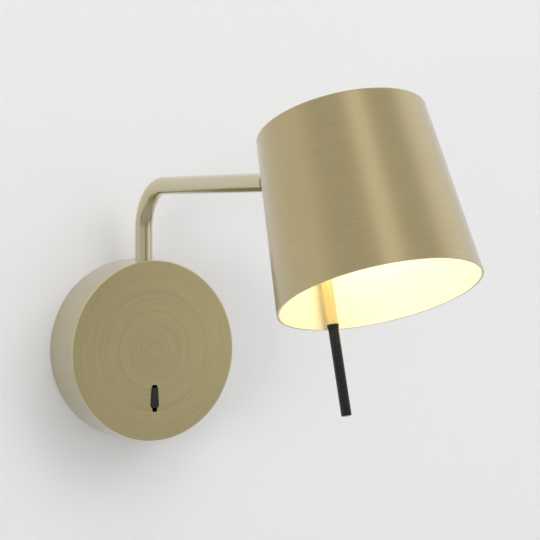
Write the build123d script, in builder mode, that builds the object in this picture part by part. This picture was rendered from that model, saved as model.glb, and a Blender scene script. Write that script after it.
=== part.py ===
from build123d import *
import os
from math import asin, atan, cos, degrees, radians, sin, sqrt

# A bedside wall reading lamp. A round canopy on a wall bracket holds the driver, the rocker switch
# and the swivel of a bent tube arm. At the arm's outer end a fork and tongue carry the head: a tapered
# metal shade, open below, with an LED engine under its closed top and a rod whose grip aims it.
#
# The wall is the plane y = 0 and the lamp stands out towards -Y. +Z is up, +X is to the right as seen
# from the room. The origin is the centre of the canopy on the wall. All sizes are in millimetres.

# ---------------------------------------------------------------- driving dimensions

# Canopy and wall bracket
canopy_diameter = 125.0
canopy_depth = 35.5
canopy_wall = 1.5
canopy_edge_radius = 1.0
bracket_margin = 10.5
bracket_thickness = 2.0
wall_screw_spacing = 76.0
wall_slot_length = 10.0
wall_slot_width = 5.0
cable_hole_diameter = 16.0
grommet_wall = 3.0
grommet_lip = 2.0
grommet_edge_radius = 0.8
lug_width = 16.0
lug_depth = 10.5
lug_clearance = 0.4
canopy_screw_from_wall = 6.0
canopy_screw_length = 6.0

# Arm
tube_diameter = 12.0
tube_wall = 1.0
post_from_wall = 19.6
arm_height = 113.8
bend_radius = 30.0
arm_reach = 166.4
hinge_from_joint = 25.6
nipple_in_tube = 14.0
nipple_end = 1.0
nipple_bore_room = 1.0

# Swivel of the arm inside the canopy
swivel_block_width = 24.0
swivel_block_back = 11.2
swivel_block_drop = 26.5
swivel_block_edge_radius = 2.0
swivel_floor = 4.0
swivel_ear_span = 44.0
swivel_ear_thickness = 3.0
swivel_ear_bottom_drop = 22.5
swivel_ear_top_drop = 8.5
swivel_stud_spacing = 34.0
swivel_stud_drop = 15.5
swivel_half_range = 75.0
stop_pin_offset = 9.5
stop_pin_diameter = 2.5
stop_pin_gap = 0.24
stop_pin_end_gap = 0.5
stop_pin_overhang = 0.5
stop_washer_diameter = 22.0
stop_washer_waist = 15.6
stop_washer_thickness = 1.5

# Fork and tongue hinge of the head
head_tilt = 22.3
fork_slot_width = 5.8
fork_slot_floor = 6.5
fork_socket_diameter = 8.0
fork_socket_depth = 10.0
fork_socket_end_gap = 0.5
lock_screw_from_joint = 3.5
tongue_thickness = 4.6
tongue_shoulder = 6.7
tongue_gap = 0.1
hinge_washer_thickness = 0.5
hinge_washer_diameter = 9.0
hinge_tip_gap = 0.7
link_thread_diameter = 8.0
outer_washer_room = 2.17
saddle_diameter = 14.0

# Shade
shade_bottom_diameter = 118.5
shade_top_diameter = 100.0
shade_height = 105.0
shade_wall = 1.5
shade_edge_radius = 1.2
hinge_to_shade = 13.17
link_below_top = 8.3

# Aiming rod and grip
rod_diameter = 7.0
rod_lean_past_wall = 1.5655
rod_inside_shade = 9.93
rod_spigot_diameter = 5.0
rod_spigot_gap = 0.5
grip_length = 54.0
grip_diameter = 6.1
grip_collar_diameter = 7.1
grip_collar_length = 3.0
grip_collar_land = 1.0
grip_end_radius = 0.8
grip_above_rim = 0.95
grip_pin_diameter = 3.5
grip_pin_length = 10.0
grip_pin_end_gap = 0.5
rod_block_width = 12.0
rod_block_above = 6.0
rod_block_below = 12.0
rod_block_cut = 1.0
rod_block_edge_radius = 2.0

# LED engine under the shade's closed top
boss_height = 4.0
boss_diameter = 8.0
boss_hole_floor = 0.5
engine_screw_circle = 44.0
engine_screw_end_gap = 1.0
sink_diameter = 56.0
sink_base_thickness = 4.0
sink_base_top = 16.0
sink_hub_diameter = 18.0
fin_count = 12
fin_thickness = 1.5
fin_top_gap = 1.3
board_diameter = 36.0
board_thickness = 1.6
chip_size = 2.8
chip_height = 0.7
outer_chip_count = 8
outer_chip_circle = 24.0
inner_chip_count = 4
inner_chip_circle = 10.0
diffuser_diameter = 60.0
diffuser_wall = 1.8
diffuser_skirt = 10.0
diffuser_dome = 6.0

# Rocker switch in the canopy's face
switch_top = 23.6
switch_widest = 38.5
switch_shoulder = 39.9
switch_bottom = 42.4
switch_top_width = 4.2
switch_widest_width = 6.5
switch_stub_width = 3.7
switch_corner_radius = 1.2
paddle_side_gap = 0.2
paddle_top_gap = 1.3
paddle_bottom_gap = 1.0
paddle_proud = 1.0
paddle_depth = 4.4
paddle_crown = 0.7
paddle_pivot_depth = 6.0
paddle_hub_diameter = 6.0
paddle_throw = 8.0
switch_pin_diameter = 2.0
switch_body_width = 13.0
switch_body_depth = 13.0
switch_body_wall = 1.2
switch_body_room = 1.0
switch_ear_width = 9.0
switch_ear_thickness = 2.5
switch_ear_reach = 7.5
switch_stud_reach = 4.2
switch_terminal_length = 6.0
switch_terminal_width = 4.8
switch_terminal_thickness = 0.8
switch_terminal_spacing = 11.0

# Electrical pieces on the bracket
driver_left = 44.0
driver_right = 14.0
driver_length = 50.0
driver_height = 20.0
driver_ear_length = 6.0
driver_ear_width = 10.0
driver_ear_thickness = 3.0
driver_edge_radius = 1.5
lead_diameter = 4.0
driver_lead_height = 10.0
driver_lead_bend = 9.0
lead_hole_gap = 0.4
arm_lead_tail = 1.35
arm_lead_end_gap = 1.0
head_lead_diameter = 2.4
head_lead_start_gap = 1.0
head_lead_end_gap = 0.3
terminal_x = 31.0
terminal_width = 30.0
terminal_length = 16.0
terminal_height = 14.0
terminal_pitch = 9.5
terminal_edge_radius = 1.0
terminal_bore_diameter = 3.4
terminal_bore_from_front = 8.4
terminal_screw_diameter = 3.4
terminal_screw_offset = 4.5
terminal_screw_depth = 5.0
terminal_screw_length = 4.0
terminal_screw_recess = 0.5
earth_x = 24.0
earth_z = 30.0
earth_cup_diameter = 9.0
earth_cup_thickness = 1.0

# Small screws, nuts and fits
thread_gap = 0.05
seat_gap = 0.05
hole_gap = 0.3
running_gap = 0.05
socket_depth_share = 0.6
grub_socket_width = 2.0
cap_socket_width = 2.5
terminal_socket_width = 1.8
stud_end = 1.0
m3_diameter = 3.0
m3_head_diameter = 5.5
m3_head_height = 2.4
m4_diameter = 4.0
m4_head_diameter = 7.0
m4_head_height = 1.6
m4_nut_width = 7.0
m4_nut_height = 3.2
m3_nut_width = 5.5
m3_nut_height = 2.4
m10_diameter = 10.0
m10_nut_width = 14.0
m10_nut_height = 4.0
spring_washer_thickness = 1.0
thrust_washer_thickness = 0.5
groove_chamfer = 0.35

# ---------------------------------------------------------------- derived places

canopy_radius = canopy_diameter / 2
canopy_inner_radius = canopy_radius - canopy_wall
bracket_radius = canopy_radius - bracket_margin
face_back = canopy_depth - canopy_wall
tube_radius = tube_diameter / 2
tube_bore_radius = tube_radius - tube_wall
joint_from_wall = post_from_wall + arm_reach
hinge_from_wall = joint_from_wall + hinge_from_joint
lug_reach = sqrt(canopy_inner_radius**2 - (lug_width / 2) ** 2) - lug_clearance
swivel_block_bottom = canopy_radius - swivel_block_drop
swivel_ear_bottom = canopy_radius - swivel_ear_bottom_drop
swivel_ear_top = canopy_radius - swivel_ear_top_drop
swivel_stud_height = canopy_radius - swivel_stud_drop
stop_washer_top = swivel_block_bottom - seat_gap
spring_washer_top = stop_washer_top - stop_washer_thickness - seat_gap
swivel_nut_top = spring_washer_top - spring_washer_thickness - seat_gap
nipple_bottom = swivel_nut_top - m10_nut_height - nipple_end
arm_lead_bottom = nipple_bottom - arm_lead_tail
tube_foot = swivel_block_bottom + swivel_floor + thrust_washer_thickness + 2 * seat_gap
shade_top = link_below_top
shade_rim = shade_top - shade_height
shade_ceiling = shade_top - shade_wall
shade_taper = (shade_bottom_diameter - shade_top_diameter) / 2 / shade_height
hinge_to_shade_axis = hinge_to_shade + shade_top_diameter / 2 + shade_top * shade_taper
rod_lean = degrees(atan(shade_taper)) + rod_lean_past_wall
link_body_end = hinge_to_shade - outer_washer_room
rod_from_hinge = hinge_to_shade + rod_inside_shade
rod_end = -shade_rim / cos(radians(rod_lean)) - grip_above_rim

# The head's own frame: its origin lies on the tilt hinge, its z runs up the shade's axis, its x is
# the hinge's axis, and -y runs along the link from the hinge towards the shade.
head = Plane(
    origin=(0, -hinge_from_wall, arm_height),
    x_dir=(1, 0, 0),
    z_dir=(0, sin(radians(head_tilt)), cos(radians(head_tilt))),
)


def head_point(x, y, z):
    """Point of the head's frame, in the lamp's frame."""
    return head.from_local_coords(Vector(x, y, z))


def head_level(out, height):
    """Plane across the shade's axis, its origin out from the hinge and at a height above the link."""
    return Plane(origin=head_point(0, -out, height), x_dir=head.x_dir, z_dir=head.z_dir)


def head_section(out):
    """Plane square to the link, facing out, its origin on the link's axis, out from the hinge."""
    return Plane(origin=head_point(0, -out, 0), x_dir=head.x_dir, z_dir=-head.y_dir)


def head_side(x):
    """Plane along the shade's axis and the link, facing +X."""
    return Plane(origin=head_point(x, 0, 0), x_dir=head.y_dir, z_dir=head.x_dir)


def shade_radius(height):
    """Outer radius of the shade at a height of the head's frame."""
    return shade_top_diameter / 2 + (shade_top - height) * shade_taper


shade_axis = Axis(origin=head_point(0, -hinge_to_shade_axis, 0), direction=head.z_dir)

# The rod's frame: its origin lies where the rod's axis meets the link's, and its z points down the rod.
rod_top = Plane(
    origin=head_point(0, -rod_from_hinge, 0),
    x_dir=head.x_dir,
    z_dir=head.y_dir * sin(radians(rod_lean)) - head.z_dir * cos(radians(rod_lean)),
)


def screw(diameter, length, head_diameter, head_height, socket_width):
    """Screw with a socket head: its seat on the plane z = 0, its shank along +Z."""
    with BuildPart() as piece:
        with BuildSketch(Plane.XY):
            Circle(diameter / 2)
        extrude(amount=length)
        with BuildSketch(Plane.XY):
            Circle(head_diameter / 2)
        extrude(amount=-head_height)
        with BuildSketch(Plane.XY.offset(-head_height)):
            RegularPolygon(socket_width / 2, 6, major_radius=False)
        extrude(amount=head_height * socket_depth_share, mode=Mode.SUBTRACT)
    return piece.part


def grub_screw(diameter, length, socket_width):
    """Headless screw with a socket: its outer end on the plane z = 0, its shank along +Z."""
    with BuildPart() as piece:
        with BuildSketch(Plane.XY):
            Circle(diameter / 2)
        extrude(amount=length)
        with BuildSketch(Plane.XY):
            RegularPolygon(socket_width / 2, 6, major_radius=False)
        extrude(amount=length / 2, mode=Mode.SUBTRACT)
    return piece.part


def nut(width, height, bore_diameter):
    """Hexagon nut on the plane z = 0, its height along +Z."""
    with BuildPart() as piece:
        with BuildSketch(Plane.XY):
            RegularPolygon(width / 2, 6, major_radius=False)
            Circle(bore_diameter / 2, mode=Mode.SUBTRACT)
        extrude(amount=height)
    return piece.part


def washer(outer_diameter, bore_diameter, thickness):
    """Flat washer on the plane z = 0, its thickness along +Z."""
    with BuildPart() as piece:
        with BuildSketch(Plane.XY):
            Circle(outer_diameter / 2)
            Circle(bore_diameter / 2, mode=Mode.SUBTRACT)
        extrude(amount=thickness)
    return piece.part


def shade_core(inset, top, bottom):
    """Solid cone inside the shade's outer surface, inset from it, between two heights."""
    slant_inset = inset * sqrt(1 + shade_taper**2)
    with BuildPart() as piece:
        with BuildSketch(head_level(hinge_to_shade_axis, bottom)):
            Circle(shade_radius(bottom) - slant_inset)
        with BuildSketch(head_level(hinge_to_shade_axis, top)):
            Circle(shade_radius(top) - slant_inset)
        loft()
    return piece.part


def towards_wall(x, from_wall, z):
    """Location at a distance from the wall whose z points to the wall."""
    return Plane(origin=(x, -from_wall, z), z_dir=(0, 1, 0)).location


# ---------------------------------------------------------------- wall bracket

driver_x = -(driver_left + driver_right) / 2
driver_holes = [(driver_x, side * (driver_length + driver_ear_length) / 2) for side in (-1, 1)]
terminal_front = bracket_thickness + seat_gap + terminal_height
terminal_holes = [(terminal_x + side * terminal_pitch / 2, 0) for side in (-1, 1)]
terminal_poles = [terminal_x + step * terminal_pitch for step in (-1, 0, 1)]
terminal_screw_places = [(x, side * terminal_screw_offset) for x in terminal_poles for side in (-1, 1)]

with BuildPart() as wall_bracket:
    with BuildSketch(Plane.XZ):
        Circle(bracket_radius)
        Rectangle(lug_width, 2 * lug_reach)
        with Locations((0, wall_screw_spacing / 2), (0, -wall_screw_spacing / 2)):
            SlotOverall(wall_slot_length, wall_slot_width, rotation=90, mode=Mode.SUBTRACT)
        Circle(cable_hole_diameter / 2, mode=Mode.SUBTRACT)
    extrude(amount=bracket_thickness)
    with BuildSketch(Plane.XZ):
        with Locations((0, lug_reach - bracket_thickness / 2), (0, bracket_thickness / 2 - lug_reach)):
            Rectangle(lug_width, bracket_thickness)
    extrude(amount=lug_depth)
    with BuildSketch(Plane.XY):
        with Locations((0, -canopy_screw_from_wall)):
            Circle(m4_diameter / 2 + thread_gap)
    extrude(amount=canopy_radius, both=True, mode=Mode.SUBTRACT)
    with BuildSketch(Plane.XZ):
        with Locations((earth_x, earth_z)):
            Circle(m4_diameter / 2 + thread_gap)
        with Locations(terminal_holes):
            Circle(m3_diameter / 2 + thread_gap)
        with Locations(driver_holes):
            Circle(m3_diameter / 2 + thread_gap)
    extrude(amount=bracket_thickness, mode=Mode.SUBTRACT)

with BuildPart() as cable_grommet:
    with BuildSketch(Plane.XZ):
        Circle(cable_hole_diameter / 2 - thread_gap)
    extrude(amount=bracket_thickness)
    with BuildSketch(Plane.XZ.offset(bracket_thickness)):
        Circle(cable_hole_diameter / 2 + grommet_lip)
    extrude(amount=bracket_thickness)
    with BuildSketch(Plane.XZ):
        Circle(cable_hole_diameter / 2 - grommet_wall)
    extrude(amount=2 * bracket_thickness, mode=Mode.SUBTRACT)
    lip_edges = cable_grommet.edges().filter_by(GeomType.CIRCLE).group_by(Axis.Y)[0]
    fillet(lip_edges, radius=grommet_edge_radius)

# ---------------------------------------------------------------- canopy

switch_middle = (switch_top + paddle_top_gap + switch_shoulder - paddle_bottom_gap) / 2
switch_centre = (switch_top + switch_bottom) / 2
switch_box_length = switch_bottom - switch_top + 2 * (switch_body_wall + switch_body_room)
switch_stud_offset = switch_box_length / 2 + switch_stud_reach
switch_stud_places = [(0, side * switch_stud_offset - switch_centre) for side in (-1, 1)]
swivel_stud_places = [(side * swivel_stud_spacing / 2, swivel_stud_height) for side in (-1, 1)]

with BuildPart() as canopy_shell:
    with BuildSketch(Plane.XZ):
        Circle(canopy_radius)
    extrude(amount=canopy_depth)
    fillet(canopy_shell.edges().sort_by(Axis.Y)[0], radius=canopy_edge_radius)
    with BuildSketch(Plane.XZ):
        Circle(canopy_inner_radius)
    extrude(amount=face_back, mode=Mode.SUBTRACT)
    # Hole for the arm in the top of the rim, and one screw hole each at top and bottom.
    with BuildSketch(Plane.XY.offset(canopy_inner_radius / 2)):
        with Locations((0, -post_from_wall)):
            Circle(tube_radius + hole_gap)
    extrude(amount=canopy_radius, mode=Mode.SUBTRACT)
    with BuildSketch(Plane.XY):
        with Locations((0, -canopy_screw_from_wall)):
            Circle(m4_diameter / 2 + hole_gap / 2)
    extrude(amount=canopy_radius, both=True, mode=Mode.SUBTRACT)
    # Opening of the rocker: narrow above, widest low down, with a short neck below its shoulders.
    with BuildSketch(Plane.XZ.offset(face_back)):
        with BuildLine():
            Polyline(
                (-switch_top_width / 2, -switch_top),
                (switch_top_width / 2, -switch_top),
                (switch_widest_width / 2, -switch_widest),
                (switch_stub_width / 2, -switch_shoulder),
                (switch_stub_width / 2, -switch_bottom),
                (-switch_stub_width / 2, -switch_bottom),
                (-switch_stub_width / 2, -switch_shoulder),
                (-switch_widest_width / 2, -switch_widest),
                close=True,
            )
        make_face()
        fillet(vertices().group_by(Axis.Z)[-1], radius=switch_corner_radius)
    extrude(amount=canopy_wall, mode=Mode.SUBTRACT)

# Studs welded to the back of the face carry the swivel block and the switch.
with BuildPart() as swivel_block_studs:
    with BuildSketch(Plane.XZ.offset(face_back)):
        with Locations(swivel_stud_places):
            Circle(m4_diameter / 2)
    extrude(amount=-(swivel_ear_thickness + m4_nut_height + stud_end))

with BuildPart() as switch_studs:
    with BuildSketch(Plane.XZ.offset(face_back)):
        with Locations(switch_stud_places):
            Circle(m3_diameter / 2)
    extrude(amount=-(switch_ear_thickness + m3_nut_height + stud_end))

canopy_grub = grub_screw(m4_diameter, canopy_screw_length, grub_socket_width)
with BuildPart() as canopy_screws:
    with Locations(
        Plane(origin=(0, -canopy_screw_from_wall, canopy_radius - hole_gap), z_dir=(0, 0, -1)).location,
        Plane(origin=(0, -canopy_screw_from_wall, hole_gap - canopy_radius), z_dir=(0, 0, 1)).location,
    ):
        add(canopy_grub)

# ---------------------------------------------------------------- driver, terminals and earth screw

with BuildPart() as led_driver:
    with BuildSketch(Plane.XZ.offset(bracket_thickness + seat_gap)):
        with Locations((driver_x, 0)):
            Rectangle(driver_left - driver_right, driver_length)
    extrude(amount=driver_height)
    fillet(led_driver.edges().filter_by(Axis.Y), radius=driver_edge_radius)
    fillet(led_driver.faces().sort_by(Axis.Y)[0].edges(), radius=driver_edge_radius / 2)
    with BuildSketch(Plane.XZ.offset(bracket_thickness + seat_gap)):
        with Locations((driver_x, 0)):
            Rectangle(driver_ear_width, driver_length + 2 * driver_ear_length)
    extrude(amount=driver_ear_thickness)
    with BuildSketch(Plane.XZ.offset(bracket_thickness)):
        with Locations(driver_holes):
            Circle(m3_diameter / 2 + hole_gap / 2)
    extrude(amount=driver_ear_thickness + seat_gap, mode=Mode.SUBTRACT)

driver_screw_length = driver_ear_thickness + bracket_thickness
driver_screw = screw(m3_diameter, driver_screw_length, m3_head_diameter, m3_head_height, cap_socket_width)
driver_seat = bracket_thickness + driver_ear_thickness + 2 * seat_gap
with BuildPart() as driver_screws:
    with Locations([towards_wall(x, driver_seat, z) for x, z in driver_holes]):
        add(driver_screw)

driver_lead_start = (seat_gap - driver_right, -post_from_wall, driver_lead_height)
driver_lead_end = (0, -post_from_wall, arm_lead_bottom - hole_gap)
with BuildPart() as driver_lead:
    with BuildLine():
        driver_lead_path = FilletPolyline(
            driver_lead_start,
            (0, -post_from_wall, driver_lead_height),
            driver_lead_end,
            radius=driver_lead_bend,
        )
    with BuildSketch(Plane(origin=driver_lead_start, z_dir=(1, 0, 0))):
        Circle(lead_diameter / 2)
    sweep(path=driver_lead_path)

with BuildPart() as terminal_block:
    with BuildSketch(Plane.XZ.offset(bracket_thickness + seat_gap)):
        with Locations((terminal_x, 0)):
            Rectangle(terminal_width, terminal_length)
    extrude(amount=terminal_height)
    fillet(terminal_block.edges().filter_by(Axis.Y), radius=terminal_edge_radius)
    with BuildSketch(Plane.XY.offset(-terminal_length / 2)):
        with Locations([(x, terminal_bore_from_front - terminal_front) for x in terminal_poles]):
            Circle(terminal_bore_diameter / 2)
    extrude(amount=terminal_length, mode=Mode.SUBTRACT)
    with BuildSketch(Plane.XZ.offset(terminal_front)):
        with Locations(terminal_screw_places):
            Circle(terminal_screw_diameter / 2 + thread_gap)
    extrude(amount=-terminal_screw_depth, mode=Mode.SUBTRACT)
    with BuildSketch(Plane.XZ.offset(terminal_front)):
        with Locations(terminal_holes):
            Circle(m3_diameter / 2 + hole_gap / 2)
    extrude(amount=-terminal_height, mode=Mode.SUBTRACT)

terminal_screw_front = terminal_front - terminal_screw_recess
terminal_screw = grub_screw(terminal_screw_diameter, terminal_screw_length, terminal_socket_width)
with BuildPart() as terminal_screws:
    with Locations([towards_wall(x, terminal_screw_front, z) for x, z in terminal_screw_places]):
        add(terminal_screw)

terminal_fixing_length = terminal_height + bracket_thickness
terminal_fixing = screw(
    m3_diameter, terminal_fixing_length, m3_head_diameter, m3_head_height, cap_socket_width
)
with BuildPart() as terminal_fixings:
    with Locations([towards_wall(x, terminal_front + seat_gap, z) for x, z in terminal_holes]):
        add(terminal_fixing)

earth_thread_length = bracket_thickness + earth_cup_thickness
earth_thread = screw(m4_diameter, earth_thread_length, m4_head_diameter, m4_head_height, cap_socket_width)
earth_cup = washer(earth_cup_diameter, m4_diameter + 2 * thread_gap, earth_cup_thickness - 2 * seat_gap)
with BuildPart() as earth_screw:
    with Locations(towards_wall(earth_x, bracket_thickness + earth_cup_thickness, earth_z)):
        add(earth_thread)
    with Locations(towards_wall(earth_x, bracket_thickness + earth_cup_thickness - seat_gap, earth_z)):
        add(earth_cup)

# ---------------------------------------------------------------- swivel of the arm

block_front = face_back - seat_gap
with BuildPart() as swivel_block:
    with BuildSketch(Plane.XY.offset(swivel_block_bottom)):
        with Locations((0, -(block_front + swivel_block_back) / 2)):
            Rectangle(swivel_block_width, block_front - swivel_block_back)
    extrude(amount=canopy_radius - swivel_block_bottom)
    fillet(swivel_block.edges().filter_by(Axis.Z).sort_by(Axis.Y)[-2:], radius=swivel_block_edge_radius)
    with BuildSketch(Plane.XZ.offset(block_front)):
        with Locations((0, (swivel_ear_bottom + swivel_ear_top) / 2)):
            RectangleRounded(swivel_ear_span, swivel_ear_top - swivel_ear_bottom, swivel_block_edge_radius)
    extrude(amount=-swivel_ear_thickness)
    with BuildSketch(Plane.XZ):
        Circle(canopy_inner_radius - hole_gap)
    extrude(amount=canopy_depth, mode=Mode.INTERSECT)
    with BuildSketch(Plane.XY.offset(swivel_block_bottom + swivel_floor)):
        with Locations((0, -post_from_wall)):
            Circle(tube_radius + running_gap)
    extrude(amount=canopy_radius, mode=Mode.SUBTRACT)
    with BuildSketch(Plane.XY.offset(swivel_block_bottom)):
        with Locations((0, -post_from_wall)):
            Circle(m10_diameter / 2 + 2 * running_gap)
        with Locations((0, -post_from_wall - stop_pin_offset)):
            Circle(stop_pin_diameter / 2 + thread_gap)
    extrude(amount=swivel_floor, mode=Mode.SUBTRACT)
    with BuildSketch(Plane.XZ.offset(block_front)):
        with Locations(swivel_stud_places):
            Circle(m4_diameter / 2 + hole_gap / 2)
    extrude(amount=-swivel_ear_thickness, mode=Mode.SUBTRACT)

block_nut = nut(m4_nut_width, m4_nut_height, m4_diameter + 2 * thread_gap)
block_nut_seat = block_front - swivel_ear_thickness - seat_gap
with BuildPart() as swivel_block_nuts:
    with Locations([towards_wall(x, block_nut_seat, z) for x, z in swivel_stud_places]):
        add(block_nut)

with BuildPart() as swivel_stop_pin:
    with BuildSketch(Plane.XY.offset(swivel_block_bottom + swivel_floor - stop_pin_end_gap)):
        with Locations((0, -post_from_wall - stop_pin_offset)):
            Circle(stop_pin_diameter / 2)
    extrude(amount=-(swivel_floor - stop_pin_end_gap + stop_washer_thickness + stop_pin_overhang))

with BuildPart() as swivel_thrust_washer:
    with BuildSketch(Plane.XY.offset(swivel_block_bottom + swivel_floor + seat_gap)):
        with Locations((0, -post_from_wall)):
            Circle(tube_radius - hole_gap)
            Circle(m10_diameter / 2 + running_gap, mode=Mode.SUBTRACT)
    extrude(amount=thrust_washer_thickness)

# The stop washer is keyed to the nipple. Its wide half meets the pin at both ends of the swing.
pin_half_angle = degrees(asin((stop_pin_diameter / 2 + stop_pin_gap) / stop_pin_offset))
notch_half_angle = swivel_half_range + pin_half_angle
notch_side = stop_washer_diameter * sin(radians(notch_half_angle))
notch_start = stop_washer_diameter * cos(radians(notch_half_angle))
notch_end = 2 * stop_washer_diameter
with BuildPart() as swivel_stop_washer:
    with BuildSketch(Plane.XY.offset(stop_washer_top)):
        with Locations((0, -post_from_wall)):
            Circle(stop_washer_diameter / 2)
        with BuildLine(Plane.XY.offset(stop_washer_top)):
            Polyline(
                (0, -post_from_wall),
                (notch_side, -post_from_wall - notch_start),
                (notch_side, -post_from_wall - notch_end),
                (-notch_side, -post_from_wall - notch_end),
                (-notch_side, -post_from_wall - notch_start),
                close=True,
            )
        make_face(mode=Mode.SUBTRACT)
        with Locations((0, -post_from_wall)):
            Circle(stop_washer_waist / 2)
            Circle(m10_diameter / 2 + thread_gap, mode=Mode.SUBTRACT)
    extrude(amount=-stop_washer_thickness)

with BuildPart() as swivel_spring_washer:
    with BuildSketch(Plane.XY.offset(spring_washer_top)):
        with Locations((0, -post_from_wall)):
            Circle(stop_washer_waist / 2)
            Circle(m10_diameter / 2 + thread_gap, mode=Mode.SUBTRACT)
    extrude(amount=-spring_washer_thickness)

with BuildPart() as swivel_nut:
    with BuildSketch(Plane.XY.offset(swivel_nut_top)):
        with Locations((0, -post_from_wall)):
            RegularPolygon(m10_nut_width / 2, 6, major_radius=False)
            Circle(m10_diameter / 2 + thread_gap, mode=Mode.SUBTRACT)
    extrude(amount=-m10_nut_height)

# ---------------------------------------------------------------- arm

arm_start = (0, -post_from_wall, tube_foot)
arm_corner = (0, -post_from_wall, arm_height)
arm_end = (0, -joint_from_wall, arm_height)
with BuildPart() as arm_tube:
    with BuildLine():
        arm_path = FilletPolyline(arm_start, arm_corner, arm_end, radius=bend_radius)
    with BuildSketch(Plane(origin=arm_start, z_dir=(0, 0, 1))):
        Circle(tube_radius)
        Circle(tube_bore_radius, mode=Mode.SUBTRACT)
    sweep(path=arm_path)
    chamfer(arm_tube.edges().sort_by(Axis.Y)[:2].sort_by(Edge.length)[-1], length=groove_chamfer)

nipple_bore_radius = lead_diameter / 2 + nipple_bore_room
with BuildPart() as base_nipple:
    with BuildSketch(Plane.XY.offset(nipple_bottom)):
        with Locations((0, -post_from_wall)):
            Circle(tube_bore_radius - thread_gap)
            Circle(nipple_bore_radius, mode=Mode.SUBTRACT)
    extrude(amount=tube_foot + m10_diameter - nipple_bottom)

lead_hole_radius = lead_diameter / 2 + lead_hole_gap
with BuildPart() as head_nipple:
    with BuildSketch(Plane.XZ.offset(joint_from_wall - nipple_in_tube)):
        with Locations((0, arm_height)):
            Circle(tube_bore_radius - thread_gap)
    extrude(amount=nipple_in_tube)
    with BuildSketch(Plane.XZ.offset(joint_from_wall)):
        with Locations((0, arm_height)):
            Circle(fork_socket_diameter / 2 - thread_gap)
    extrude(amount=fork_socket_depth - fork_socket_end_gap)
    with BuildSketch(Plane.XZ.offset(joint_from_wall - nipple_in_tube)):
        with Locations((0, arm_height)):
            Circle(lead_hole_radius)
    extrude(amount=nipple_in_tube + fork_socket_depth, mode=Mode.SUBTRACT)

lead_end_from_wall = hinge_from_wall - fork_slot_floor - arm_lead_end_gap
arm_lead_start = (0, -post_from_wall, arm_lead_bottom)
with BuildPart() as arm_lead:
    with BuildLine():
        arm_lead_path = FilletPolyline(
            arm_lead_start,
            arm_corner,
            (0, -lead_end_from_wall, arm_height),
            radius=bend_radius,
        )
    with BuildSketch(Plane(origin=arm_lead_start, z_dir=(0, 0, 1))):
        Circle(lead_diameter / 2)
    sweep(path=arm_lead_path)

# ---------------------------------------------------------------- fork and hinge screw

fork_start = joint_from_wall + seat_gap
with BuildPart() as hinge_fork:
    with BuildSketch(Plane.XZ.offset(fork_start)):
        with Locations((0, arm_height)):
            Circle(tube_radius)
    extrude(amount=hinge_from_wall + tube_radius - fork_start)
    chamfer(hinge_fork.edges().sort_by(Axis.Y)[-1], length=groove_chamfer)
    # The ears end in a full round about the hinge.
    with BuildSketch(Plane.YZ.offset(-tube_radius)):
        with Locations((-(fork_start + hinge_from_wall) / 2, arm_height)):
            Rectangle(hinge_from_wall - fork_start, tube_diameter)
        with Locations((-hinge_from_wall, arm_height)):
            Circle(tube_radius)
    extrude(amount=tube_diameter, mode=Mode.INTERSECT)
    with BuildSketch(Plane.XZ.offset(hinge_from_wall - fork_slot_floor)):
        with Locations((0, arm_height)):
            Rectangle(fork_slot_width, tube_diameter)
    extrude(amount=fork_slot_floor + tube_radius, mode=Mode.SUBTRACT)
    with BuildSketch(Plane.XZ.offset(fork_start)):
        with Locations((0, arm_height)):
            Circle(fork_socket_diameter / 2)
    extrude(amount=fork_socket_depth, mode=Mode.SUBTRACT)
    with BuildSketch(Plane.XZ.offset(fork_start)):
        with Locations((0, arm_height)):
            Circle(lead_hole_radius)
    extrude(amount=hinge_from_wall - fork_slot_floor - fork_start, mode=Mode.SUBTRACT)
    with BuildSketch(Plane.YZ.offset(-tube_radius)):
        with Locations((-hinge_from_wall, arm_height)):
            Circle(m4_diameter / 2 + thread_gap)
    extrude(amount=tube_diameter, mode=Mode.SUBTRACT)
    with BuildSketch(Plane.YZ.offset(-tube_radius)):
        with Locations((-hinge_from_wall, arm_height)):
            Circle(m4_head_diameter / 2 + thread_gap)
    extrude(amount=m4_head_height, mode=Mode.SUBTRACT)
    with BuildSketch(Plane.YZ.offset(-tube_radius)):
        with Locations((-(joint_from_wall + lock_screw_from_joint), arm_height)):
            Circle(m4_diameter / 2 + thread_gap)
    extrude(amount=tube_radius, mode=Mode.SUBTRACT)

fork_lock_length = tube_radius - fork_socket_diameter / 2
fork_grub = grub_screw(m4_diameter, fork_lock_length, grub_socket_width)
fork_lock_seat = (-tube_radius, -(joint_from_wall + lock_screw_from_joint), arm_height)
with BuildPart() as fork_lock_screw:
    with Locations(Plane(origin=fork_lock_seat, z_dir=(1, 0, 0)).location):
        add(fork_grub)

hinge_bolt = screw(
    m4_diameter,
    tube_diameter - m4_head_height - hinge_tip_gap,
    m4_head_diameter,
    m4_head_height - 2 * seat_gap,
    cap_socket_width,
)
hinge_bolt_seat = (m4_head_height - seat_gap - tube_radius, -hinge_from_wall, arm_height)
with BuildPart() as hinge_screw:
    with Locations(Plane(origin=hinge_bolt_seat, z_dir=(1, 0, 0)).location):
        add(hinge_bolt)

hinge_disc = washer(hinge_washer_diameter, m4_diameter + 2 * thread_gap, hinge_washer_thickness)
hinge_disc_inner = fork_slot_width / 2 - seat_gap
with BuildPart() as hinge_washers:
    with Locations(
        Plane(origin=(-hinge_disc_inner, -hinge_from_wall, arm_height), z_dir=(1, 0, 0)).location,
        Plane(origin=(hinge_disc_inner, -hinge_from_wall, arm_height), z_dir=(-1, 0, 0)).location,
    ):
        add(hinge_disc)

# ---------------------------------------------------------------- head: link, washers and rod block

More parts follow.
